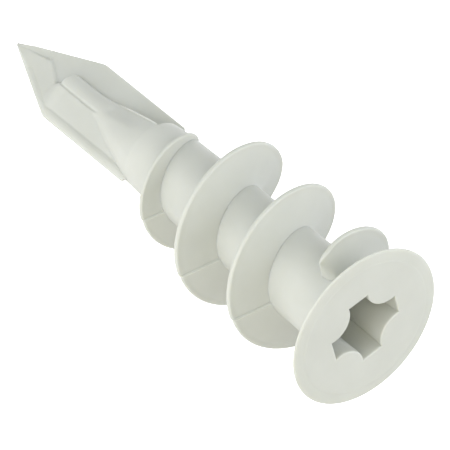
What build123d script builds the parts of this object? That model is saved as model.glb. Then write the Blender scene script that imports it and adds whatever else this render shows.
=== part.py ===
"""Self-drilling wall anchor: one nylon moulding, modelled as its named regions.

Frame: the origin is the centre of the head's front face, +Y runs along the anchor to its
point, +Z is up, and the mould's two halves meet in the XY plane.
Each region is one closed solid that meets its neighbours face to face.
Half a turn about the Y axis carries the blade onto itself, so its lower regions are its
upper ones turned over.
"""
import os
from math import cos, radians, sin, sqrt, tan

from build123d import *

# Driving dimensions: millimetres and degrees
HEAD_RADIUS = 6.5
OVERALL_LENGTH = 42.5
BARREL_RADIUS = 2.9
THREAD_RADIUS = 6.15
THREAD_PITCH = 6.22
BORE_RADIUS = 1.8
BLADE_HALF_WIDTH = 3.2

# Head flange: flat face, shallow outer bevel, thin rim, and a back that thickens to the neck
CREASE_RADIUS = 0.857 * HEAD_RADIUS
BEVEL_DROP = 0.08
RIM_BACK = 0.3
FLANGE_BACK = 1.0
RIM_ROUND = 0.08

# Neck and barrel: radius at each station along Y
NECK_TOP_RADIUS = 3.75
NECK_RADIUS = 3.22
NECK_END = 3.2
SLEEVE_END = 9.5
FRONT_BARREL_END = 17.0
BARREL_END = 24.85
CONE_END = 31.15
CORE_RADIUS = 1.08
CORE_END = 35.95
CORE_END_ROUND = 0.35

# Drive recess: four wings between four convex ribs that run down the socket
WING_REACH_X = 2.96
WING_REACH_Z = 2.85
WING_HALF_WIDTH = 0.88
WING_FOOT_REACH = 2.2
RIB_RADIUS = 1.8
RIB_CENTRE = 3.77
RECESS_DEPTH = 9.0

# Screw bore: straight, then tapered to a fine blind end inside the nose
BORE_TAPER_START = 21.5
BORE_TAPER_END = 25.0
BORE_TIP_RADIUS = 0.4
BORE_END = 27.0

# Thread: PARTING_ANGLE lies on +X, and larger angles turn towards -Z and the point
RUN_OUT_ANGLE = 117.0
PARTING_ANGLE = 202.4
LEAD_IN_ANGLE = 922.4
START_ANGLE = 1268.0
RUN_OUT_Y = 3.2
RIM_THICKNESS = 0.26
FLANK_ANGLE = 15.5
ROOT_RADIUS = 2.35
START_RADIUS = 3.05
START_GROWTH = 1.1
RUN_OUT_ROUND_ANGLE = 30.0
RUN_OUT_ROUND_DROP = 1.0
DRAFT_SHIFT = 0.65
DRAFT_SHIFT_ANGLE = -50.0
MOULD_MISMATCH = 0.18
HALF_TURN = 180.0
SHORTEST_FLIGHT = 90.0
CURVE_STEP = 7.5

# Blade: flat web, sloped pads on alternate sides inside thin lips, open pockets beside the core
FLAT_HEIGHT = 0.28
LIP_HEIGHT = 0.11
LIP_WIDTH = 0.75
POINT_LIP_WIDTH = 0.5
SHOULDER_Y = 35.2
SHOULDER_ROUND = 0.5
RELIEF_SLOPE = 0.453
POINT_RELIEF_SLOPE = 0.3
RELIEF_INNER_X = 0.3
POCKET_WALL_X = 1.05
POCKET_END = 25.15
POCKET_TIP_EDGE = (-0.45, 36.4)
POCKET_TIP_SLOPE = 1.9
TIP_HALF_THICKNESS = 0.08
TIP_WEDGE = 0.13
POINT_START = 39.05
POINT_FLAT = 0.1
POINT_SLANT = (BLADE_HALF_WIDTH - POINT_FLAT) / (OVERALL_LENGTH - SHOULDER_Y)
POINT_CHAMFER = 0.8

SPAN = 20.0


def turned(profile):
    """Solid of revolution about the Y axis from (radius, y) corners."""
    corners = [(radius, y, 0) for radius, y in profile]
    return revolve(make_face(Polyline(*corners, close=True)), Axis.Y)


def half_turned(shape):
    """The same shape turned over about the anchor's axis."""
    return shape.rotate(Axis.Y, HALF_TURN)


def slab(y_low, y_high, height=SPAN):
    """A box across the anchor between two stations."""
    return Pos(0, (y_low + y_high) / 2, 0) * Box(SPAN, y_high - y_low, height)


def prism(outline, z_low, z_high):
    """Plan outline raised between two heights; its (x, y) corners run anticlockwise."""
    face = make_face(Polyline(*[(x, y, z_low) for x, y in outline], close=True))
    return extrude(face, amount=z_high - z_low)


def space_under(height, rise_x, rise_y):
    """All the space below the plane z = height + rise_x * x + rise_y * y."""
    plane = Plane(origin=(0, 0, height), z_dir=(-rise_x, -rise_y, 1))
    depth = 10 * SPAN
    return plane * Pos(0, 0, -depth / 2) * Box(depth, depth, depth)


# Socket and bore

def wing_octagon(reach_x, reach_z, y):
    """Section through the wings' ends, in the plane at y."""
    half = WING_HALF_WIDTH
    corners = [(reach_x, half), (half, reach_z), (-half, reach_z), (-reach_x, half)]
    corners += [(-x, -z) for x, z in corners]
    return make_face(Polyline(*[(x, y, z) for x, z in corners], close=True))


def recess():
    """The cross-shaped space of the drive, open at the front face."""
    mouth = wing_octagon(WING_REACH_X, WING_REACH_Z, 0)
    foot = wing_octagon(WING_FOOT_REACH, WING_FOOT_REACH, RECESS_DEPTH)
    space = loft([mouth, foot])
    for quarter in range(4):
        angle = radians(45 + 90 * quarter)
        centre = (RIB_CENTRE * cos(angle), RECESS_DEPTH / 2, RIB_CENTRE * sin(angle))
        rib = Cylinder(RIB_RADIUS, RECESS_DEPTH, rotation=(90, 0, 0))
        space -= Pos(*centre) * rib
    return space


def bore():
    """The screw's path down the barrel, blind towards the point."""
    return turned([
        (0, 0),
        (BORE_RADIUS, 0),
        (BORE_RADIUS, BORE_TAPER_START),
        (BORE_TIP_RADIUS, BORE_TAPER_END),
        (BORE_TIP_RADIUS, BORE_END),
        (0, BORE_END),
    ])


# Head, barrel and core

def barrel_radius(y):
    """Radius of the barrel, which narrows evenly from the neck to the blade."""
    share = min(1, (y - NECK_END) / (BARREL_END - NECK_END))
    return NECK_RADIUS + (BARREL_RADIUS - NECK_RADIUS) * share


def head_flange():
    """Thin disc with a flat face, a shallow bevel round it and a coned back."""
    disc = turned([
        (0, 0),
        (CREASE_RADIUS, 0),
        (HEAD_RADIUS, BEVEL_DROP),
        (HEAD_RADIUS, RIM_BACK),
        (NECK_TOP_RADIUS, FLANGE_BACK),
        (0, FLANGE_BACK),
    ])
    rim = disc.edges().filter_by(GeomType.CIRCLE).sort_by(lambda edge: edge.radius)[-2:]
    return fillet(rim, RIM_ROUND)


def neck_collar():
    """Flare from the flange's back to the barrel, as a tangent curve."""
    top = (NECK_TOP_RADIUS, FLANGE_BACK)
    foot = (NECK_RADIUS, NECK_END)
    edges = [
        Line((0, FLANGE_BACK), top),
        TangentArc(foot, top, tangent=(0, -1)),
        Line(foot, (0, NECK_END)),
        Line((0, NECK_END), (0, FLANGE_BACK)),
    ]
    return revolve(make_face(edges), Axis.Y)


def barrel_length(y_low, y_high):
    """A stretch of solid barrel between two stations."""
    return turned([
        (0, y_low),
        (barrel_radius(y_low), y_low),
        (barrel_radius(y_high), y_high),
        (0, y_high),
    ])


def side_pocket():
    """Open space over the web beside the core, on the +X side of the upper face."""
    outline = [
        (POCKET_WALL_X, POCKET_END),
        (SPAN, POCKET_END),
        (SPAN, CORE_END),
        (POCKET_WALL_X, CORE_END),
    ]
    return prism(outline, FLAT_HEIGHT, SPAN)


def nose_cone():
    """Cone from the barrel down to the core, open to a pocket on each face of the blade."""
    cone = turned([
        (0, BARREL_END),
        (BARREL_RADIUS, BARREL_END),
        (CORE_RADIUS, CONE_END),
        (0, CONE_END),
    ])
    space = side_pocket()
    return cone - space - half_turned(space)


def core_rib():
    """Round core along the middle of the blade, with a blunt rounded end."""
    rod = turned([(0, CONE_END), (CORE_RADIUS, CONE_END), (CORE_RADIUS, CORE_END), (0, CORE_END)])
    end = rod.edges().filter_by(GeomType.CIRCLE).sort_by(Axis.Y)[-1]
    return fillet(end, CORE_END_ROUND)


# Blade

def blade_outline():
    """Plan of the blade: parallel sides, rounded shoulders and a point."""
    half = BLADE_HALF_WIDTH
    corners = [
        (-half, BARREL_END),
        (half, BARREL_END),
        (half, SHOULDER_Y),
        (POINT_FLAT, OVERALL_LENGTH),
        (-POINT_FLAT, OVERALL_LENGTH),
        (-half, SHOULDER_Y),
    ]
    plate = make_face(Polyline(*corners, close=True))
    shoulders = plate.vertices().sort_by(Axis.Y)[2:4]
    return fillet(shoulders, SHOULDER_ROUND)


def blade_envelope():
    """The space that the blade may fill: its plan, closed to a wedge at the point."""
    plan = extrude(blade_outline(), amount=SPAN / 2, both=True)
    wedge = space_under(TIP_HALF_THICKNESS + OVERALL_LENGTH * TIP_WEDGE, 0, -TIP_WEDGE)
    return plan & wedge & half_turned(wedge)


def relief():
    """Space above the lip's level on the -X side of the upper face, as far as the core and pocket."""
    return prism([
        (-SPAN, BARREL_END - 1),
        (RELIEF_INNER_X, BARREL_END - 1),
        (RELIEF_INNER_X, CORE_END),
        POCKET_TIP_EDGE,
        (SPAN, POCKET_TIP_EDGE[1] + POCKET_TIP_SLOPE * SPAN),
        (-SPAN, POCKET_TIP_EDGE[1] + POCKET_TIP_SLOPE * SPAN),
    ], LIP_HEIGHT, SPAN)


def pad():
    """Sloping pad of the upper face, set in from the -X edges to leave the thin lip."""
    edge_x = LIP_WIDTH - BLADE_HALF_WIDTH
    tip_x = POINT_LIP_WIDTH - POINT_FLAT
    corner_y = OVERALL_LENGTH + (edge_x - tip_x) / POINT_SLANT
    inside_lip = prism([
        (edge_x, BARREL_END - 1),
        (SPAN, BARREL_END - 1),
        (SPAN, OVERALL_LENGTH + (SPAN - tip_x) / POINT_SLANT),
        (edge_x, corner_y),
    ], LIP_HEIGHT, SPAN)
    side = space_under(LIP_HEIGHT - RELIEF_SLOPE * edge_x, RELIEF_SLOPE, 0)
    foot = LIP_HEIGHT + POINT_RELIEF_SLOPE * (OVERALL_LENGTH * POINT_SLANT - tip_x)
    point = space_under(foot, POINT_RELIEF_SLOPE, -POINT_RELIEF_SLOPE * POINT_SLANT)
    edge = FLAT_HEIGHT + POINT_CHAMFER * (POINT_FLAT + OVERALL_LENGTH * POINT_SLANT)
    chamfer = space_under(edge, -POINT_CHAMFER, -POINT_CHAMFER * POINT_SLANT)
    return relief() & inside_lip & side & point & chamfer


# Thread

def rim_radius(angle):
    """Radius of the flight's rim: round at its blunt end, growing from the start."""
    if angle > LEAD_IN_ANGLE:
        share = (angle - LEAD_IN_ANGLE) / (START_ANGLE - LEAD_IN_ANGLE)
        return THREAD_RADIUS + (START_RADIUS - THREAD_RADIUS) * share ** START_GROWTH
    gap = max(0, RUN_OUT_ANGLE + RUN_OUT_ROUND_ANGLE - angle) / RUN_OUT_ROUND_ANGLE
    return THREAD_RADIUS - RUN_OUT_ROUND_DROP * (1 - sqrt(1 - gap ** 2))


def flight_y(angle):
    """Middle of the flight along Y: a helix, eased where the mould's lower half draws."""
    ease = (1 + cos(radians(angle - DRAFT_SHIFT_ANGLE))) / 2
    return RUN_OUT_Y + THREAD_PITCH * (angle - RUN_OUT_ANGLE) / 360 + DRAFT_SHIFT * ease ** 1.5


def mould_shift(angle):
    """Shift of the mould's lower half towards the head: none at +X, full at -X."""
    return -MOULD_MISMATCH * (1 - cos(radians(PARTING_ANGLE - angle))) / 2


def section_corners(angle, shift):
    """Corners of the flight's section, from the root's head side round to its point side."""
    rim = rim_radius(angle)
    around = radians(PARTING_ANGLE - angle)
    corners = []
    for radius, side in [(ROOT_RADIUS, -1), (rim, -1), (rim, 1), (ROOT_RADIUS, 1)]:
        half = RIM_THICKNESS / 2 + (rim - radius) * tan(radians(FLANK_ANGLE))
        y = flight_y(angle) + shift + side * half
        corners.append(Vector(radius * cos(around), y, radius * sin(around)))
    return corners


def flight(first, last):
    """Solid flight between two angles, with its root buried in the barrel."""
    in_lower_half = sin(radians(PARTING_ANGLE - (first + last) / 2)) < 0
    steps = max(4, round((last - first) / CURVE_STEP))
    sections = []
    for step in range(steps + 1):
        angle = first + (last - first) * step / steps
        sections.append(section_corners(angle, mould_shift(angle) if in_lower_half else 0))
    rails = [Edge.make_spline(list(corner)) for corner in zip(*sections)]
    walls = [Face.make_surface_from_curves(rails[i], rails[(i + 1) % 4]) for i in range(4)]
    caps = [Face(Wire.make_polygon(sections[end], close=True)) for end in (0, -1)]
    return Solid(Shell(walls + caps))


def flight_ends():
    """Angles that split the thread at the mould's parting plane."""
    ends = [RUN_OUT_ANGLE]
    angle = PARTING_ANGLE
    while angle < START_ANGLE - SHORTEST_FLIGHT:
        ends.append(angle)
        angle += HALF_TURN
    return ends + [START_ANGLE]


# The whole anchor

def trunk_parts():
    """Head, barrel and nose, hollowed by the drive recess and the screw bore."""
    solids = {
        "head_flange": head_flange(),
        "neck_collar": neck_collar(),
        "socket_sleeve": barrel_length(NECK_END, SLEEVE_END),
        "front_barrel": barrel_length(SLEEVE_END, FRONT_BARREL_END),
        "rear_barrel": barrel_length(FRONT_BARREL_END, BARREL_END),
        "nose_cone": nose_cone(),
    }
    hollow = recess() + bore()
    return {node: solid - hollow for node, solid in solids.items()}


def blade_parts():
    """Core, web, pads and point of the blade."""
    envelope = blade_envelope()
    upper_relief = relief()
    plate = slab(BARREL_END, OVERALL_LENGTH, 2 * FLAT_HEIGHT) & envelope
    plate = plate - upper_relief - half_turned(upper_relief)
    upper_pad = pad() & envelope
    lower_pad = half_turned(upper_pad)
    layers = {"blade_web": plate, "upper_cutting_pad": upper_pad, "lower_cutting_pad": lower_pad}
    behind_point = slab(BARREL_END, POINT_START)
    nose = nose_cone()
    core = core_rib()
    parts = {node: (layer & behind_point) - nose - core for node, layer in layers.items()}
    parts["core_rib"] = core
    parts["drill_point"] = (plate + upper_pad + lower_pad) & slab(POINT_START, OVERALL_LENGTH)
    return parts


def thread_parts():
    """The thread's flights, cut to sit on the barrel and the neck."""
    ends = flight_ends()
    middle = [f"thread_flight_{number}" for number in range(1, len(ends) - 2)]
    names = ["run_out_flight"] + middle + ["lead_in_flight"]
    trunk = barrel_length(NECK_END, BARREL_END) + neck_collar()
    spans = zip(names, ends, ends[1:])
    return {name: flight(first, last) - trunk for name, first, last in spans}


os.makedirs("parts", exist_ok=True)
for node, shape in {**trunk_parts(), **blade_parts(), **thread_parts()}.items():
    export_step(shape, f"parts/{node}.step")
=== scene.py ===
from math import atan2, cos, hypot, pi, radians, sin, sqrt, tan

import bmesh
import bpy
from mathutils import Matrix, Quaternion, Vector

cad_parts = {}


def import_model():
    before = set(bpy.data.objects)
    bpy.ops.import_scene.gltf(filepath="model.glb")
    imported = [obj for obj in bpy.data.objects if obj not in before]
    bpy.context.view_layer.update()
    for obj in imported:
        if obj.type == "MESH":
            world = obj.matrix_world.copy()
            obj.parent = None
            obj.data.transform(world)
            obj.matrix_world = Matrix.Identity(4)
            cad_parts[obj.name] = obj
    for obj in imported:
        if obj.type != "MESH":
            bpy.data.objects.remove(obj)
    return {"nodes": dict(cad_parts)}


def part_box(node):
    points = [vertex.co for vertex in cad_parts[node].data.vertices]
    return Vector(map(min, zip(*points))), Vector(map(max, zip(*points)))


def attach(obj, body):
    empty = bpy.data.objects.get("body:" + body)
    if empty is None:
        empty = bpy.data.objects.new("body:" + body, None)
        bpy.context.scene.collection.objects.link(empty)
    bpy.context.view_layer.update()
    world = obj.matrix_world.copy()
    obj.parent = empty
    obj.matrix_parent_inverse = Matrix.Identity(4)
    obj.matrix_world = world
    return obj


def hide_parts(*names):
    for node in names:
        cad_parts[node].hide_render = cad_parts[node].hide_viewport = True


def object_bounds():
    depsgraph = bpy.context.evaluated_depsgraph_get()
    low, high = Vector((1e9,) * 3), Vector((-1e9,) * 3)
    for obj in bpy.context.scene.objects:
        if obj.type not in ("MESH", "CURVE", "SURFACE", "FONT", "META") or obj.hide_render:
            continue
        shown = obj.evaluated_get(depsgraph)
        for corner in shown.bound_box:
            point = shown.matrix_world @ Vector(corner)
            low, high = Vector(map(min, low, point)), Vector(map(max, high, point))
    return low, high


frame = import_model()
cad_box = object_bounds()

# Lengths below are in millimetres, and are scaled to metres when an object is made. The head's
# front face is at y = 0, the point is towards +Y and the mould halves meet in the XY plane.
# Thread angles are in degrees and grow from the head towards the point.
MM = 0.001
SHARP_ANGLE = 40.0


def corners(node):
    """Lowest and highest corner of a CAD node, in millimetres."""
    low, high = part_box(node)
    return low / MM, high / MM


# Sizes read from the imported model
HEAD_RADIUS = corners("head_flange")[1].z
NECK_END = corners("neck_collar")[1].y
NECK_TOP_RADIUS = corners("neck_collar")[1].z
FLANGE_BACK = corners("neck_collar")[0].y
NECK_RADIUS = corners("socket_sleeve")[1].z
BARREL_RADIUS = corners("nose_cone")[1].z
BARREL_END = corners("nose_cone")[0].y
CONE_END = corners("nose_cone")[1].y
CORE_RADIUS = corners("core_rib")[1].z
CORE_END = corners("core_rib")[1].y
BLADE_HALF_WIDTH = corners("blade_web")[1].x
OVERALL_LENGTH = corners("drill_point")[1].y

# Head: how far each ring lies from the recess to the rim, then (radius, y) round the rim
FACE_SHARES = (0.25, 0.5, 0.75, 0.92)
CREASE_RADIUS = 0.857 * HEAD_RADIUS
RIM_PROFILE = [
    (CREASE_RADIUS - 0.10, 0.0),
    (CREASE_RADIUS - 0.04, 0.0),
    (CREASE_RADIUS, 0.008),
    (CREASE_RADIUS + 0.04, 0.022),
    (CREASE_RADIUS + 0.08, 0.028),
    (CREASE_RADIUS + 0.14, 0.031),
    (HEAD_RADIUS - 0.22, 0.066),
    (HEAD_RADIUS - 0.13, 0.075),
    (HEAD_RADIUS - 0.06, 0.094),
    (HEAD_RADIUS - 0.015, 0.135),
    (HEAD_RADIUS, 0.180),
    (HEAD_RADIUS, 0.205),
    (HEAD_RADIUS - 0.02, 0.250),
    (HEAD_RADIUS - 0.07, 0.290),
    (HEAD_RADIUS - 0.15, 0.320),
    (HEAD_RADIUS - 0.30, 0.360),
]
FLANGE_BACK_STEPS = 9

# Drive recess; wing reaches are along X and Z
RIB_RADIUS = 1.8
RIB_DISTANCE = 3.77
RIB_CENTRE = RIB_DISTANCE * sqrt(0.5)
WING_MOUTH = (2.96, 2.85)
WING_FOOT = (2.2, 2.2)
RECESS_DEPTH = 9.0
RECESS_STEPS = 12
MOUTH_ROUND = 0.1
MOUTH_ROUND_START = 2.5 * MOUTH_ROUND
MOUTH_BORDER = 1.4 * MOUTH_ROUND
MOUTH_STEPS = 5
WING_COLUMNS = 20
RIB_COLUMNS = 39
COLUMNS = 4 * (WING_COLUMNS + RIB_COLUMNS)

# Screw bore: (radius, y) from its blind tip to the recess
BORE_RADIUS = 1.8
BORE_PROFILE = [
    (0.4, 27.0),
    (0.4, 25.0),
    (1.1, 23.25),
    (BORE_RADIUS, 21.5),
    (BORE_RADIUS, 17.0),
    (BORE_RADIUS, 13.0),
    (BORE_RADIUS, RECESS_DEPTH + 0.05),
]

# Cone and core
CONE_EASE = 0.3
CONE_START_SOFTNESS = 0.4
CONE_END_SOFTNESS = 0.5
CONE_FILLET = 0.9
CONE_FILLET_START = BARREL_END + 1.5
CORE_FILLET = 0.04
FILLET_LEAST_HEIGHT = 0.2
CORE_END_ROUND = 0.35
CORE_SHOULDER = CORE_END - CORE_END_ROUND
GROOVE_X = -0.627
GROOVE_WIDTH = 0.16
GROOVE_DEPTH = 0.09
GROOVE_START = 30.8
GROOVE_FADE_IN = 0.8
GROOVE_FADE_OUT = 0.3

# Blade: its outline, its flat web and the sloped relief face on the -X side, inside a thin lip
BLADE_GROWTH = 0.5
SHOULDER_Y = 35.2
SHOULDER_SOFTNESS = 0.12
POINT_FLAT = 0.1
POINT_SLANT = (BLADE_HALF_WIDTH - POINT_FLAT) / (OVERALL_LENGTH - SHOULDER_Y)
FLAT_HEIGHT = 0.28
TIP_HEIGHT = 0.08
TIP_WEDGE = 0.13
LIP_HEIGHT = 0.11
POINT_LIP_HEIGHT = 0.02
LIP_WIDTH = 0.75
POINT_LIP_WIDTH = 0.5
LIP_NARROWING = (SHOULDER_Y - 0.4, SHOULDER_Y + 0.6)
LIP_WIDTH_LIMIT = 0.35
LIP_FLAT_SHARE = 0.14
LIP_STEPS = 16
LIP_END_TURN = radians(82)
EDGE_ROUND = 0.05
EDGE_FALL_LIMIT = 0.9
EDGE_STEPS = 3
RELIEF_SLOPE = 0.453
POINT_RELIEF_SLOPE = 0.29
CREASE_START, CREASE_END = 35.8, 36.9
RELIEF_TOP_SOFTNESS = 0.1
RELIEF_FOOT_SOFTNESS = 0.04
RELIEF_FOOT_REACH = 0.1

# Pocket over the web on the +X side: its wall, its step to the relief face and its valley
POCKET_WALL_X = 1.1
POCKET_START = 25.15
POCKET_TIP_EDGE = (-0.45, 36.5)
POCKET_TIP_SLOPE = 1.93
POCKET_CORE_EDGE = (0.3, 35.95)
WALL_STEEPNESS = 25.0
WALL_FOOT = 0.03
WALL_TOP_SOFTNESS = 0.06
STEP_STEEPNESS = 1.0
STEP_REACH = 1.2
STEP_TOP_SOFTNESS = 0.2
STEP_FOOT_SOFTNESS = 0.12
STEP_FOOT_REACH = 0.1
VALLEY_START = (0.63, 38.84)
VALLEY_SLANT = 0.228
VALLEY_SLOPE = 0.12
VALLEY_FADE = (-0.05, 0.12)

# Bead along the top of the pocket's wall, and the hollow beside it
BEAD_HEIGHT = 0.1
BEAD_WIDTH = 0.14
BEAD_X = POCKET_WALL_X - 0.4 * BEAD_WIDTH
BEAD_FADE = (CONE_END - 1.2, CONE_END - 0.2)
HOLLOW_DEPTH = 0.16
HOLLOW_WIDTH = 0.9
HOLLOW_X = POCKET_WALL_X - 0.8
HOLLOW_FADE_IN = 3.0

# Mesh columns across the blade's upper side, which with the lip's and the edge's steps come to
# half of COLUMNS. The limits are shares of the half width, for where the point narrows.
FLOOR_COLUMNS = 23
WALL_COLUMNS = 8
CORE_COLUMNS = 36
RELIEF_COLUMNS = 20
CREASE_COLUMNS = 12
WALL_MARGINS = (0.07, 0.09)
WALL_LIMIT = 0.4
CORE_MARGIN = 0.1
CORE_LIMIT = 0.45
CREASE_MARGIN_SHARE = 0.12

# Mesh stations (y, steps to the next) down the barrel and the blade
DRIFT_END = BARREL_END - 1.0
BARREL_STATIONS = [(FLANGE_BACK, 10), (NECK_END, 34), (DRIFT_END, 5), (BARREL_END - 0.2, 0)]
BLADE_STATIONS = [
    (BARREL_END, 4),
    (POCKET_START - 0.06, 6),
    (POCKET_START + 0.08, 100),
    (CORE_SHOULDER, 8),
    (CORE_END, 2),
    (CORE_END + 0.06, 60),
    (OVERALL_LENGTH - 0.3, 5),
    (OVERALL_LENGTH, 0),
]

# Thread: its path
THREAD_RADIUS = 6.15
THREAD_PITCH = 6.22
RUN_OUT_ANGLE = 117.0
RUN_OUT_Y = 3.2
PARTING_ANGLE = 202.4
LEAD_IN_ANGLE = 922.4
START_ANGLE = 1268.0
START_RADIUS = 3.05
START_GROWTH = 1.1
DRAFT_SHIFT = 0.65
DRAFT_SHIFT_ANGLE = -50.0
DRAFT_SHIFT_POWER = 1.5
LEAD_IN_SHIFT = 0.25
LEAD_IN_SHIFT_ANGLE = 1085.0
LEAD_IN_SHIFT_SPAN = 160.0

# Thread: its section
RIM_ROUND = 0.13
RIM_STEPS = 4
RIM_START_SHARE = 0.97
FLANK = tan(radians(15.5))
FLANK_SHARES = (0.0, 0.06, 0.13, 0.3, 0.5, 0.7, 0.85, 0.95)
ROOT_DEPTH = 0.2
ROOT_FLARE = 0.05
ROOT_FLARE_SHARE = 0.13

# Thread: the rounded blunt end, and the step where the mould halves meet
RUN_OUT_ROUND_ANGLE = 30.0
RUN_OUT_ROUND_DROP = 0.4
NOSE_ANGLE = 11.0
NOSE_DROP = 0.7
NOSE_STEPS = 9
NOSE_END_SHARE = NOSE_STEPS / (NOSE_STEPS + 0.3)
MOULD_MISMATCH = 0.18
STEP_MARGIN = 0.35
RING_ANGLE = 2.5
SHORTEST_SPAN = 0.5

# Nylon: colours of its darker and lighter patches, and the scale of each noise per metre
DARKER_NYLON = (0.575, 0.595, 0.545, 1)
LIGHTER_NYLON = (0.61, 0.63, 0.58, 1)
PATCH_RANGE = (0.3, 0.7)
PATCH_NOISE = 260
GLOSS_NOISE = 900
GRAIN_NOISE = 2500
ROUGHNESS_RANGE = (0.38, 0.56)
SCATTER_DEPTH = 0.5
GRAIN_DEPTH = 0.02

# Camera: the middle of its view, and its angles round Z from -Y towards -X, up from the XY
# plane, and round its own line of sight
CAMERA_TARGET = Vector((-3.485, 9.964, 6.745))
CAMERA_DISTANCE = 359.0
CAMERA_SWING = 26.165
CAMERA_RISE = 47.148
CAMERA_ROLL = -16.926

# Studio; each light is (name, direction from the anchor, power in watts, colour)
FLOOR_REACH = 3000.0
FLOOR_GAP = 0.02
SOFTBOX_DISTANCE = 300.0
SOFTBOX_SIZE = 200.0
WORLD_COLOUR = (1, 1, 0.965, 1)
WORLD_STRENGTH = 0.52
WARM = (1.0, 0.9, 0.71)
NEUTRAL = (1.0, 1.0, 1.0)
SOFT_COOL = (0.89, 0.91, 1.0)
COOL = (0.63, 0.72, 1.0)
LIGHTS = [
    ("left", (-1.0, -0.1, 0.1), 0.22, WARM),
    ("left_above", (-0.75, -0.1, 0.65), 0.252, COOL),
    ("left_front", (-0.8, -0.6, 0.1), 0.034, NEUTRAL),
    ("left_front_above", (-0.6, -0.6, 0.6), 0.249, WARM),
    ("left_behind", (-0.8, 0.6, 0.2), 0.047, NEUTRAL),
    ("above_behind", (-0.5, 0.5, 0.7), 0.21, NEUTRAL),
    ("front", (-0.1, -1.0, 0.25), 0.115, NEUTRAL),
    ("right_front", (0.8, -0.6, 0.2), 0.535, SOFT_COOL),
]


# Helpers

def blend(low, high, value):
    """Smooth step from 0 at low to 1 at high."""
    share = min(1.0, max(0.0, (value - low) / (high - low)))
    return share * share * (3 - 2 * share)


def bump(offset, width):
    """Smooth rise to 1 at an offset of 0, gone at the given width."""
    return (1 - min(1.0, abs(offset) / width) ** 2) ** 2


def soft_max(a, b, width):
    """The larger of two heights, with the corner between them rounded."""
    return max(a, b) + max(width - abs(a - b), 0.0) ** 2 / (4 * width)


def soft_min(a, b, width):
    """The smaller of two heights, with the corner between them rounded."""
    return -soft_max(-a, -b, width)


def spread(stops):
    """Positions along runs of (value, number of steps to the next value)."""
    values = []
    for (start, count), (end, _) in zip(stops, stops[1:]):
        values += [start + (end - start) * step / count for step in range(count)]
    return values + [stops[-1][0]]


def circle(radius, y, angles):
    return [(radius * cos(a), y, radius * sin(a)) for a in angles]


def even_angles():
    return [2 * pi * column / COLUMNS for column in range(COLUMNS)]


def link(name, data):
    """A new object in the scene."""
    obj = bpy.data.objects.new(name, data)
    bpy.context.scene.collection.objects.link(obj)
    return obj


def mesh_object(name, points, faces):
    """A mesh in metres, with smooth faces, sharp corners and outward normals."""
    mesh = bpy.data.meshes.new(name)
    mesh.from_pydata([Vector(p) * MM for p in points], [], faces)
    shape = bmesh.new()
    shape.from_mesh(mesh)
    bmesh.ops.recalc_face_normals(shape, faces=shape.faces)
    shape.to_mesh(mesh)
    shape.free()
    mesh.shade_smooth()
    mesh.set_sharp_from_angle(angle=radians(SHARP_ANGLE))
    return link(name, mesh)


def skin_object(name, rings):
    """A closed skin over rings of equal count, with a face across each end."""
    count = len(rings[0])
    last = (len(rings) - 1) * count
    faces = [tuple(range(count)), tuple(range(last, last + count))]
    for row in range(0, last, count):
        for column in range(count):
            near, far = row + column, row + (column + 1) % count
            faces.append((near, far, far + count, near + count))
    return mesh_object(name, [point for ring in rings for point in ring], faces)


# Trunk

def trunk_radius(y):
    """Outer radius at y: neck flare, barrel, cone and core."""
    if y < NECK_END:
        rise = NECK_END - FLANGE_BACK
        step = NECK_TOP_RADIUS - NECK_RADIUS
        flare = (rise ** 2 + step ** 2) / (2 * step)
        return NECK_RADIUS + flare - sqrt(flare ** 2 - (NECK_END - y) ** 2)
    share = (y - NECK_END) / (BARREL_END - NECK_END)
    barrel = NECK_RADIUS + (BARREL_RADIUS - NECK_RADIUS) * share
    taper = (BARREL_RADIUS - CORE_RADIUS) / (CONE_END - BARREL_END)
    cone = BARREL_RADIUS - taper * (y - BARREL_END - CONE_EASE)
    return soft_max(soft_min(barrel, cone, CONE_START_SOFTNESS), CORE_RADIUS, CONE_END_SOFTNESS)


def recess_outline(y, grow):
    """Section of the cross-shaped recess at y, its corners opened by grow."""
    share = max(0.0, y) / RECESS_DEPTH
    reach = [mouth + (foot - mouth) * share + grow for mouth, foot in zip(WING_MOUTH, WING_FOOT)]
    radius = RIB_RADIUS - grow
    half = [RIB_CENTRE - sqrt(radius ** 2 - (RIB_CENTRE - r) ** 2) for r in reach]
    start = atan2(half[0] - RIB_CENTRE, reach[0] - RIB_CENTRE) % (2 * pi)
    end = atan2(reach[1] - RIB_CENTRE, half[1] - RIB_CENTRE) % (2 * pi)
    quarter = []
    for step in range(WING_COLUMNS // 2):
        quarter.append((reach[0], half[0] * 2 * step / WING_COLUMNS))
    for step in range(RIB_COLUMNS):
        angle = start + (end - start) * step / RIB_COLUMNS
        quarter.append((RIB_CENTRE + radius * cos(angle), RIB_CENTRE + radius * sin(angle)))
    for step in range(WING_COLUMNS // 2):
        quarter.append((half[1] * (1 - 2 * step / WING_COLUMNS), reach[1]))
    mirrored = [(-x, z) for x, z in reversed(quarter[1:])]
    half_turn = quarter + [(0.0, reach[1])] + mirrored
    outline = half_turn + [(-x, -z) for x, z in half_turn]
    return [(x, y, z) for x, z in outline]


def socket_rings():
    """Rings from the bore's blind tip up to the recess's rounded mouth."""
    rings = [circle(radius, y, even_angles()) for radius, y in BORE_PROFILE]
    for y in spread([(RECESS_DEPTH, RECESS_STEPS), (MOUTH_ROUND_START, 0)]):
        rings.append(recess_outline(y, 0.0))
    for turn in spread([(0.0, MOUTH_STEPS), (radians(90), 0)]):
        rings.append(recess_outline(MOUTH_ROUND * (1 - sin(turn)), MOUTH_ROUND * (1 - cos(turn))))
    rings.append(recess_outline(0.0, MOUTH_BORDER))
    return rings


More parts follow.
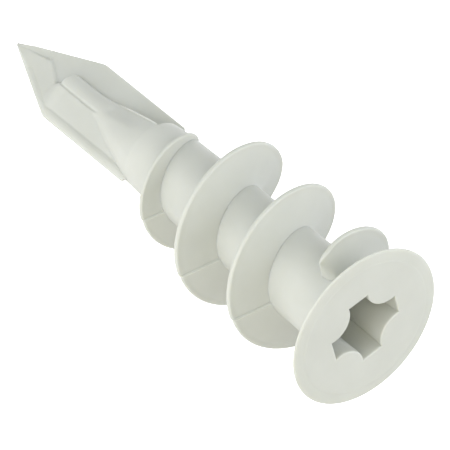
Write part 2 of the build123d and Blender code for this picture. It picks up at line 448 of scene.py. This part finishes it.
def head_rings(mouth):
    """Rings across the front face, round the rim and over the flange's back."""
    edge = circle(RIM_PROFILE[0][0], 0.0, even_angles())
    rings = []
    for share in FACE_SHARES:
        rings.append([tuple(Vector(a).lerp(Vector(b), share)) for a, b in zip(mouth, edge)])
    rings += [circle(radius, y, even_angles()) for radius, y in RIM_PROFILE]
    last_radius, last_y = RIM_PROFILE[-1]
    for step in range(1, FLANGE_BACK_STEPS):
        share = step / FLANGE_BACK_STEPS
        radius = last_radius + (NECK_TOP_RADIUS - last_radius) * share
        y = last_y + (FLANGE_BACK - last_y) * share
        rings.append(circle(radius, y, even_angles()))
    return rings


# Blade

def half_width(y):
    """Half the blade's width at y."""
    start = trunk_radius(BARREL_END)
    grown = blend(BARREL_END, BARREL_END + BLADE_GROWTH, y)
    straight = start + (BLADE_HALF_WIDTH - start) * grown
    point = POINT_FLAT + (OVERALL_LENGTH - y) * POINT_SLANT
    return soft_min(straight, point, SHOULDER_SOFTNESS)


def lip_width(y):
    """Width of the thin lip outside the relief face, narrower along the point."""
    wide = LIP_WIDTH + (POINT_LIP_WIDTH - LIP_WIDTH) * blend(*LIP_NARROWING, y)
    return min(wide, LIP_WIDTH_LIMIT * half_width(y))


def wedge_height(y):
    """Most that the blade may rise at y, as it thins to the point."""
    return TIP_HEIGHT + (OVERALL_LENGTH - y) * TIP_WEDGE


def core_radius(y):
    """Radius of the cone and core at y, with the core's end rounded."""
    if y <= CORE_SHOULDER:
        return trunk_radius(y)
    if y > CORE_END:
        return 0.0
    rounded = sqrt(max(0.0, CORE_END_ROUND ** 2 - (y - CORE_SHOULDER) ** 2))
    return CORE_RADIUS - CORE_END_ROUND + rounded


def core_height(x, y):
    """Round cone and core over the blade's middle, cut away over the side pocket."""
    radius = core_radius(y)
    height = sqrt(max(0.0, radius ** 2 - x ** 2)) if abs(x) < radius else -1.0
    if y > POCKET_START:
        along_wall = 1 - blend(*BEAD_FADE, y)
        height += BEAD_HEIGHT * bump(x - BEAD_X, BEAD_WIDTH) * along_wall
        faded_in = blend(POCKET_START, POCKET_START + HOLLOW_FADE_IN, y)
        height -= HOLLOW_DEPTH * bump(x - HOLLOW_X, HOLLOW_WIDTH) * along_wall * faded_in
    inside = max(POCKET_WALL_X - x, POCKET_START - y) + WALL_FOOT
    return soft_min(height, FLAT_HEIGHT + inside * WALL_STEEPNESS, WALL_TOP_SOFTNESS)


def pocket_inset(x, y):
    """Distance inside the pocket's edge, which runs round the core's end and on to the +X edge."""
    (tip_x, tip_y), (core_x, core_y) = POCKET_TIP_EDGE, POCKET_CORE_EDGE
    from_tip = (tip_y + POCKET_TIP_SLOPE * (x - tip_x) - y) / hypot(1, POCKET_TIP_SLOPE)
    run_x, run_y = core_x - tip_x, tip_y - core_y
    past_core = (run_y * (x - core_x) + run_x * (y - core_y)) / hypot(run_x, run_y)
    return min(from_tip, max(x - core_x, past_core))


def relief_height(x, y):
    """Sloping face of the -X wing and the point, inside the lip."""
    foot = lip_width(y) - half_width(y)
    wedge = wedge_height(y)
    past_crease = blend(CREASE_START, CREASE_END, y)
    slope = RELIEF_SLOPE + (POINT_RELIEF_SLOPE - RELIEF_SLOPE) * past_crease
    lip = min(LIP_HEIGHT + (POINT_LIP_HEIGHT - LIP_HEIGHT) * past_crease, wedge)
    face = soft_min(lip + slope * (x - foot), wedge, RELIEF_TOP_SOFTNESS)
    return soft_max(face, lip, RELIEF_FOOT_SOFTNESS) if x > foot - RELIEF_FOOT_REACH else lip


def flat_height(x, y):
    """The pocket's flat floor, and past it the facet that falls from the +X edge to a valley."""
    level = min(FLAT_HEIGHT, wedge_height(y))
    return level - VALLEY_SLOPE * (half_width(y) - x) * blend(*VALLEY_FADE, -pocket_inset(x, y))


def web_height(x, y):
    """Upper surface of the blade without its core."""
    relief = relief_height(x, y)
    inset = pocket_inset(x, y)
    valley_x, valley_y = VALLEY_START
    if y > valley_y:
        inset = max(inset, x - valley_x + VALLEY_SLANT * (y - valley_y))
    if inset < -STEP_REACH:
        return relief
    floor_height = flat_height(x, y)
    if inset >= STEP_FOOT_REACH:
        return floor_height
    step = soft_min(relief, FLAT_HEIGHT - inset * STEP_STEEPNESS, STEP_TOP_SOFTNESS)
    return soft_max(step, floor_height, STEP_FOOT_SOFTNESS)


def rounded_lip(x, y, height):
    """The height with the lip's outer side rounded down to the lower flat."""
    run = lip_width(y) * (1 - LIP_FLAT_SHARE)
    share = min(1.0, max(0.0, (-x - (half_width(y) - run)) / run))
    fall = height + min(FLAT_HEIGHT, wedge_height(y))
    return height - fall * (1 - sqrt(1 - share ** 2))


def top_height(x, y):
    """Height of the blade's upper surface at (x, y), which grows out of the barrel's end."""
    web = rounded_lip(x, y, web_height(x, y))
    core = core_height(x, y)
    softness = CORE_FILLET + CONE_FILLET * (1 - blend(CONE_FILLET_START, CONE_END, y))
    blade = soft_max(core, web, softness) if core > FILLET_LEAST_HEIGHT else max(core, web)
    groove = blend(GROOVE_START, GROOVE_START + GROOVE_FADE_IN, y)
    groove *= 1 - blend(CORE_END - GROOVE_FADE_OUT, CORE_END, y)
    blade -= GROOVE_DEPTH * bump(x - GROOVE_X, GROOVE_WIDTH) * groove
    grown = blend(BARREL_END, BARREL_END + BLADE_GROWTH, y)
    if grown == 1 or (y > POCKET_START and x > POCKET_WALL_X):
        return blade
    barrel = sqrt(max(0.0, trunk_radius(BARREL_END) ** 2 - x ** 2))
    return barrel + (blade - barrel) * grown


def columns_across(y):
    """x of each column over the upper surface, from the +X edge to the -X edge."""
    half = half_width(y)
    lip = lip_width(y)
    wall = min(POCKET_WALL_X, WALL_LIMIT * half)
    core = min(CORE_RADIUS + CORE_MARGIN, CORE_LIMIT * half)
    columns = spread([
        (half - EDGE_ROUND, FLOOR_COLUMNS),
        (wall + WALL_MARGINS[0], WALL_COLUMNS),
        (wall - WALL_MARGINS[1], CORE_COLUMNS),
        (-core, RELIEF_COLUMNS),
        (-(half - lip) + CREASE_MARGIN_SHARE * lip, CREASE_COLUMNS),
        (-(half - lip) - LIP_FLAT_SHARE * lip, 0),
    ])
    start, run = -columns[-1], half + columns[-1]
    for step in range(1, LIP_STEPS):
        columns.append(-(start + run * sin(LIP_END_TURN * step / (LIP_STEPS - 1))))
    return columns


def half_section(y):
    """(x, z) over the upper surface from the +X edge to the rounded side of the -X lip."""
    across = columns_across(y)
    half = half_width(y)
    edge = top_height(across[0], y)
    fall = min(EDGE_ROUND, EDGE_FALL_LIMIT * edge)
    points = []
    for step in range(EDGE_STEPS):
        turn = radians(90) * step / EDGE_STEPS
        points.append((half - EDGE_ROUND * (1 - cos(turn)), edge - fall * (1 - sin(turn))))
    return points + [(x, top_height(x, y)) for x in across]


def blade_ring(y):
    """Whole section at y: the lower half is the upper one turned over."""
    upper = half_section(y)
    lower = [(-x, -z) for x, z in upper]
    return [(x, y, z) for x, z in upper + lower]


def barrel_rings():
    """Rings down the barrel, whose columns drift to where the blade needs them."""
    upper_angles = [atan2(z, x) for x, z in half_section(BARREL_END)]
    blade_angles = upper_angles + [angle + pi for angle in upper_angles]
    rings = []
    for y in spread(BARREL_STATIONS):
        drift = blend(NECK_END, DRIFT_END, y)
        angles = [a + (b - a) * drift for a, b in zip(even_angles(), blade_angles)]
        rings.append(circle(trunk_radius(y), y, angles))
    return rings


def anchor_body():
    """Head, recess, bore, barrel and blade, as one closed skin."""
    socket = socket_rings()
    blade = [blade_ring(y) for y in spread(BLADE_STATIONS)]
    return skin_object("anchor_body", socket + head_rings(socket[-1]) + barrel_rings() + blade)


# Thread

def rim_radius(angle):
    """Radius of the thread's rim, which rounds off at the run-out and tapers at the lead-in."""
    if angle > LEAD_IN_ANGLE:
        share = (angle - LEAD_IN_ANGLE) / (START_ANGLE - LEAD_IN_ANGLE)
        return THREAD_RADIUS + (START_RADIUS - THREAD_RADIUS) * share ** START_GROWTH
    gap = max(0.0, RUN_OUT_ANGLE + RUN_OUT_ROUND_ANGLE - angle) / RUN_OUT_ROUND_ANGLE
    return THREAD_RADIUS - RUN_OUT_ROUND_DROP * (1 - sqrt(max(0.0, 1 - gap ** 2)))


def flight_y(angle):
    """y of the thread's middle plane, which wavers a little from an even helix."""
    ease = (1 + cos(radians(angle - DRAFT_SHIFT_ANGLE))) / 2
    drift = DRAFT_SHIFT * ease ** DRAFT_SHIFT_POWER
    drift += LEAD_IN_SHIFT * bump(angle - LEAD_IN_SHIFT_ANGLE, LEAD_IN_SHIFT_SPAN)
    return RUN_OUT_Y + THREAD_PITCH * (angle - RUN_OUT_ANGLE) / 360 + drift


def flight_ring(angle, shift, swell=1.0):
    """Closed section: head-side flank, rounded rim, point-side flank.

    As swell falls from 1 to 0, the rim drops and the head-side flank moves across to the
    other one."""
    middle = flight_y(angle)
    rim = rim_radius(angle) - NOSE_DROP * (1 - swell)
    root = trunk_radius(middle) - ROOT_DEPTH
    crown = rim - RIM_ROUND
    flank = []
    for share in FLANK_SHARES:
        radius = root + (crown - root) * share
        flare = ROOT_FLARE * max(0.0, 1 - share / ROOT_FLARE_SHARE)
        flank.append((radius, RIM_ROUND + (rim - radius) * FLANK + flare))
    start = flank[-1][1] * RIM_START_SHARE
    for step in range(RIM_STEPS):
        turn = radians(90) * step / RIM_STEPS
        flank.append((crown + RIM_ROUND * sin(turn), start * cos(turn)))
    section = [(radius, offset * (1 - 2 * swell)) for radius, offset in flank]
    section.append((rim, RIM_ROUND * (1 - swell)))
    section += reversed(flank)
    around = radians(PARTING_ANGLE - angle)
    return [(r * cos(around), middle + shift + offset, r * sin(around)) for r, offset in section]


def mismatch(angle, lower):
    """Shift of the lower mould half towards the head, none at +X and full at -X."""
    return -MOULD_MISMATCH * (1 - cos(radians(PARTING_ANGLE - angle))) / 2 if lower else 0.0


def nose_rings():
    """Rings that close the blunt end beside the head, from its tip towards the full section."""
    rings = []
    for step in range(NOSE_STEPS, 0, -1):
        turn = radians(90) * NOSE_END_SHARE * step / NOSE_STEPS
        rings.append(flight_ring(RUN_OUT_ANGLE - NOSE_ANGLE * sin(turn), 0.0, cos(turn)))
    return rings


def thread_rings():
    """Rings from the blunt end to the point's end, stepped at the parting plane."""
    rings = nose_rings()
    start, split, lower = RUN_OUT_ANGLE, PARTING_ANGLE, False
    while start < START_ANGLE - SHORTEST_SPAN:
        end = min(split, START_ANGLE)
        steps = max(2, round((end - start) / RING_ANGLE))
        for angle in spread([(start + STEP_MARGIN, steps), (end - STEP_MARGIN, 0)]):
            rings.append(flight_ring(angle, mismatch(angle, lower)))
        start, split, lower = end, split + 180, not lower
    return rings


# Materials

def principled(name):
    """A new node material and its shader."""
    material = bpy.data.materials.new(name)
    material.use_nodes = True
    return material, material.node_tree.nodes["Principled BSDF"]


def nylon():
    """Natural nylon: pale, faintly green, slightly translucent, with a fine moulded surface."""
    material, shader = principled("nylon")
    nodes, links = material.node_tree.nodes, material.node_tree.links
    shader.inputs["IOR"].default_value = 1.5
    shader.inputs["Subsurface Weight"].default_value = 0.6
    shader.inputs["Subsurface Radius"].default_value = (1.0, 0.95, 0.8)
    shader.inputs["Subsurface Scale"].default_value = SCATTER_DEPTH * MM
    place = nodes.new("ShaderNodeTexCoord")

    def noise(scale, detail):
        node = nodes.new("ShaderNodeTexNoise")
        node.inputs["Scale"].default_value = scale
        node.inputs["Detail"].default_value = detail
        links.new(place.outputs["Object"], node.inputs["Vector"])
        return node.outputs["Fac"]

    patches = nodes.new("ShaderNodeValToRGB")
    darker, lighter = patches.color_ramp.elements
    darker.position, lighter.position = PATCH_RANGE
    darker.color, lighter.color = DARKER_NYLON, LIGHTER_NYLON
    links.new(noise(PATCH_NOISE, detail=4), patches.inputs["Fac"])
    links.new(patches.outputs["Color"], shader.inputs["Base Color"])

    gloss = nodes.new("ShaderNodeMapRange")
    gloss.inputs["To Min"].default_value = ROUGHNESS_RANGE[0]
    gloss.inputs["To Max"].default_value = ROUGHNESS_RANGE[1]
    links.new(noise(GLOSS_NOISE, detail=3), gloss.inputs["Value"])
    links.new(gloss.outputs["Result"], shader.inputs["Roughness"])

    grain = nodes.new("ShaderNodeBump")
    grain.inputs["Strength"].default_value = 0.15
    grain.inputs["Distance"].default_value = GRAIN_DEPTH * MM
    links.new(noise(GRAIN_NOISE, detail=5), grain.inputs["Height"])
    links.new(grain.outputs["Normal"], shader.inputs["Normal"])
    return material


def light_table():
    """Matt white that glows, as a lit table does."""
    material, shader = principled("light_table")
    shader.inputs["Base Color"].default_value = (0.6, 0.6, 0.6, 1)
    shader.inputs["Roughness"].default_value = 0.9
    shader.inputs["Emission Color"].default_value = (1, 1, 1, 1)
    shader.inputs["Emission Strength"].default_value = 1.0
    return material


# Studio

def floor():
    """Wide pale floor just under the object, which casts no light back on to it."""
    level = cad_box[0].z / MM - FLOOR_GAP
    square = ((-1, -1), (1, -1), (1, 1), (-1, 1))
    points = [(x * FLOOR_REACH, y * FLOOR_REACH, level) for x, y in square]
    obj = mesh_object("floor", points, [(0, 1, 2, 3)])
    obj.data.materials.append(light_table())
    obj.visible_diffuse = False


def aim(obj, back, roll=0.0):
    """Turns an object so that its -Z looks against back, and rolls it about that line."""
    right = Vector((0, 0, 1)).cross(back).normalized()
    level = Matrix((right, back.cross(right), back)).transposed().to_quaternion()
    obj.rotation_mode = "QUATERNION"
    obj.rotation_quaternion = level @ Quaternion((0, 0, 1), roll)


def camera():
    """Long lens on the anchor, from in front of the head, to its left and above."""
    swing, rise = radians(CAMERA_SWING), radians(CAMERA_RISE)
    back = Vector((-sin(swing) * cos(rise), -cos(swing) * cos(rise), sin(rise)))
    data = bpy.data.cameras.new("camera")
    data.sensor_width = 36
    data.lens = 400
    data.clip_start = 0.01
    data.clip_end = 20
    obj = link("camera", data)
    obj.location = (CAMERA_TARGET + back * CAMERA_DISTANCE) * MM
    aim(obj, back, radians(CAMERA_ROLL))
    bpy.context.scene.camera = obj


def softbox(name, direction, power, colour):
    """Square area light that faces the middle of the anchor."""
    data = bpy.data.lights.new(name, "AREA")
    data.size = SOFTBOX_SIZE * MM
    data.energy = power
    data.color = colour
    obj = link(name, data)
    direction = Vector(direction).normalized()
    middle = (cad_box[0] + cad_box[1]) / 2
    obj.location = middle + direction * SOFTBOX_DISTANCE * MM
    aim(obj, direction)


def world():
    """Even soft light from all round."""
    data = bpy.data.worlds.new("studio")
    data.use_nodes = True
    background = data.node_tree.nodes["Background"]
    background.inputs["Color"].default_value = WORLD_COLOUR
    background.inputs["Strength"].default_value = WORLD_STRENGTH
    bpy.context.scene.world = data


material = nylon()
body = anchor_body()
thread = skin_object("anchor_thread", thread_rings())
for piece in (body, thread):
    piece.data.materials.append(material)
    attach(piece, "root")
flights = sorted(node for node in frame["nodes"] if "flight" in node)
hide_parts(*flights)
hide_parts(*sorted(node for node in frame["nodes"] if node not in flights))

floor()
camera()
world()
for light in LIGHTS:
    softbox(*light)
bpy.context.scene.view_settings.view_transform = "Standard"
